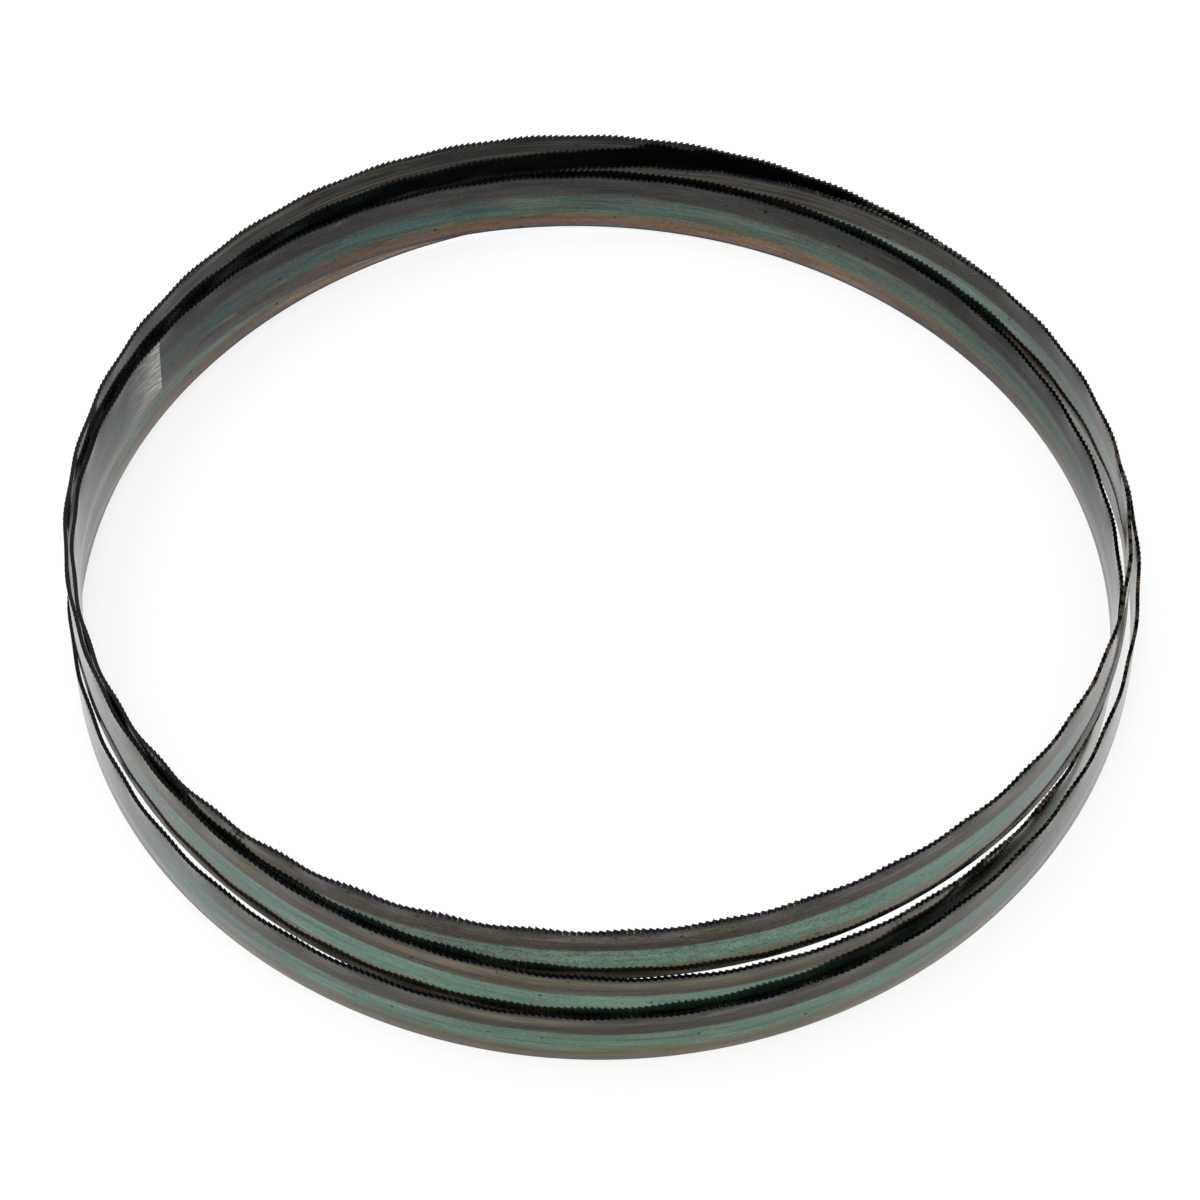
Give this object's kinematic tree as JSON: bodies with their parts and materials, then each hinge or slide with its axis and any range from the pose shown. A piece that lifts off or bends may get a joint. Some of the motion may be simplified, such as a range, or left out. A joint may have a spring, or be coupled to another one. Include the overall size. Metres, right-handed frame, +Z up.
{
  "type": "band saw blade",
  "caption": "Closed loop of thin toothed steel band, coiled in turns that climb over each other and stand on the back edge, teeth up.",
  "frame": {"origin": "on the table, under the middle of the coil", "axes": "+Z up, along the coil's axis, from the back edges to the teeth; -Y towards the front"},
  "size_m": [0.177, 0.1774, 0.0342],
  "materials": {
    "band_steel": "heat-tinted spring steel: a brown-grey tooth strip, a teal middle strip and an olive-brown back strip, satin to glossy, with fine scratches and light stains"
  },
  "bodies": {
    "root": {"saw_band": "band_steel"}
  },
  "joints": []
}
